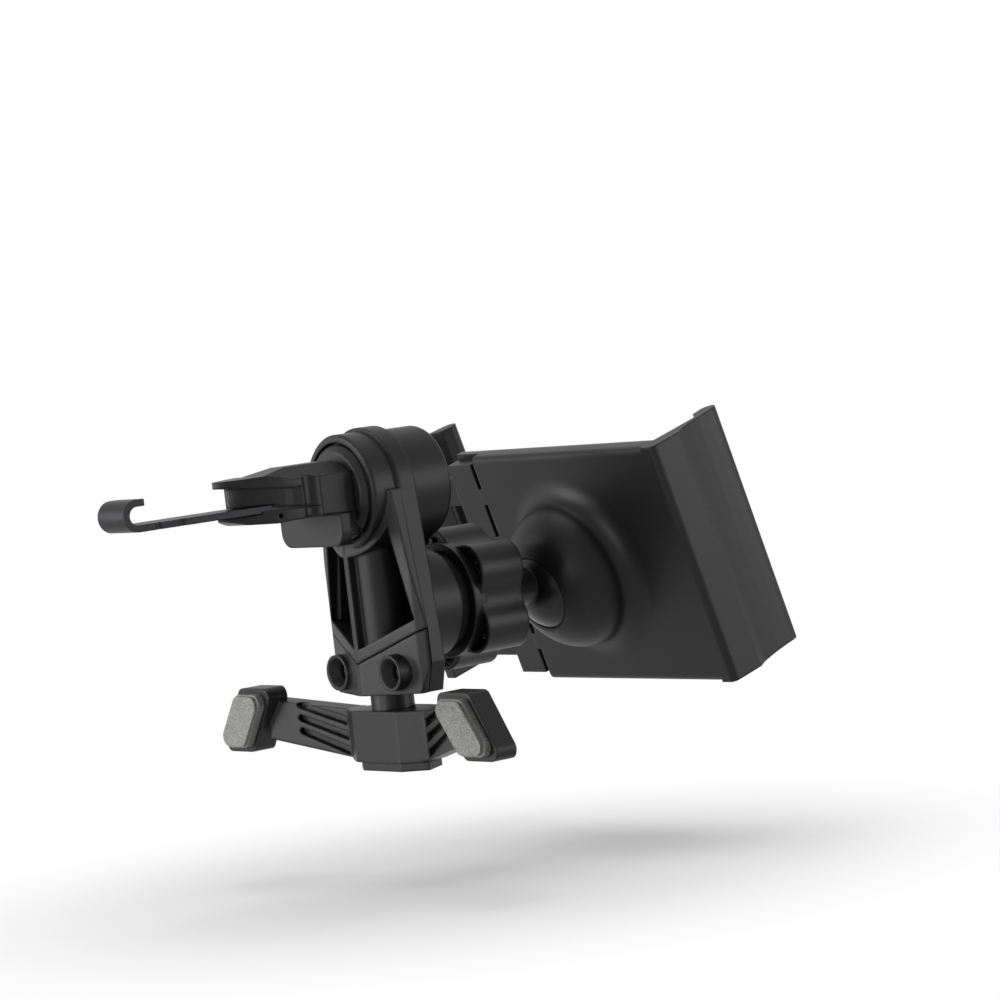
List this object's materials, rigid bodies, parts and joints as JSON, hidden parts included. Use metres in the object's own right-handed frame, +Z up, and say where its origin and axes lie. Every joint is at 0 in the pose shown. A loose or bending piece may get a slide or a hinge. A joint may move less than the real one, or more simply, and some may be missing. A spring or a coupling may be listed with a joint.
{
  "type": "air vent phone holder",
  "caption": "Phone holder that hooks and clamps on a vent louvre, with a folding foot, a lobed clamp nut, a ball joint and a cradle with a sliding jaw.",
  "frame": {"origin": "the middle of the fork's mouth, where the louvre goes in, on the middle of the louvre's thickness", "axes": "+X from the vent to the driver, +Y towards the sliding jaw, +Z up"},
  "size_m": [0.1029, 0.0809, 0.0503],
  "materials": {
    "black_plastic": "satin moulded",
    "ball_plastic": "smooth moulded",
    "liner_plastic": "natural",
    "black_steel": "black coated",
    "zinc_steel": "zinc plated",
    "foot_rubber": "matt",
    "grip_rubber": "matt"
  },
  "bodies": {
    "clip": {"clip_fork": "black_plastic", "clip_rotor": "black_plastic", "rotor_circlip": "zinc_steel"},
    "hook": {"hook_strip": "black_steel", "draw_rod": "zinc_steel", "hook_rivet": "black_steel"},
    "knob": {"tension_knob": "black_plastic"},
    "housing": {"body_frame": "black_plastic", "nose_cap": "black_plastic", "nose_screws": "black_steel"},
    "post": {"foot_post": "black_steel", "foot_screw": "zinc_steel"},
    "foot": {"foot_bracket": "black_plastic", "foot_plug": "black_plastic", "foot_pad_left": "foot_rubber", "foot_pad_right": "foot_rubber"},
    "washer": {"thrust_washer": "zinc_steel"},
    "nut": {"clamp_nut": "black_plastic"},
    "stem": {"ball_stem": "ball_plastic"},
    "liner": {"ball_liner": "liner_plastic"},
    "cradle": {"cradle_back": "black_plastic", "cradle_front": "black_plastic", "cradle_screws": "zinc_steel", "cradle_face_pad": "grip_rubber", "end_collar": "black_plastic", "rail_brake": "liner_plastic", "fixed_jaw_pad": "grip_rubber", "pressure_cup": "liner_plastic"},
    "jaw": {"sliding_jaw": "black_plastic", "jaw_bridge": "black_plastic", "sliding_jaw_pad": "grip_rubber"}
  },
  "joints": [
    {"name": "knob_turn", "type": "hinge", "parent": "clip", "child": "knob", "pos_m": [0.032, 0, -0.0015], "axis": [1, 0, 0], "range_deg": [-1800, 3340]},
    {"name": "hook_slide", "type": "slide", "parent": "clip", "child": "hook", "axis": [1, 0, 0], "range_m": [-0.0035, 0.0065]},
    {"name": "body_turn", "type": "hinge", "parent": "clip", "child": "housing", "pos_m": [0.027, 0, -0.0015], "axis": [1, 0, 0], "continuous": true},
    {"name": "post_slide", "type": "slide", "parent": "housing", "child": "post", "axis": [0, 0, 1], "range_m": [-0.008, 0]},
    {"name": "foot_swivel", "type": "hinge", "parent": "post", "child": "foot", "pos_m": [0.027, 0, -0.036], "axis": [0, 0, 1], "range_deg": [-45, 45]},
    {"name": "nut_advance", "type": "slide", "parent": "housing", "child": "washer", "axis": [1, 0, 0], "range_m": [0, 0.00151]},
    {"name": "nut_turn", "type": "hinge", "parent": "washer", "child": "nut", "pos_m": [0.042, 0, -0.0195], "axis": [1, 0, 0], "range_deg": [0, 360]},
    {"name": "stem_swivel", "type": "hinge", "parent": "housing", "child": "stem", "pos_m": [0.04, 0, -0.0195], "axis": [1, 0, 0], "continuous": true},
    {"name": "cradle_tilt", "type": "hinge", "parent": "stem", "child": "liner", "pos_m": [0.0607, 0, -0.0195], "axis": [0, 1, 0], "range_deg": [-2.8, 36]},
    {"name": "cradle_pan", "type": "hinge", "parent": "liner", "child": "cradle", "pos_m": [0.0607, 0, -0.0195], "axis": [-0.2857, 0, 0.9583], "range_deg": [-11, 11]},
    {"name": "jaw_slide", "type": "slide", "parent": "cradle", "child": "jaw", "axis": [0, 1, 0], "range_m": [-0.014, 0.012]}
  ],
  "couplings": [
    {"joint": "hook_slide", "follows": "knob_turn", "m_per_rad": 0.00011141},
    {"joint": "nut_advance", "follows": "nut_turn", "m_per_rad": 0.00023873}
  ]
}
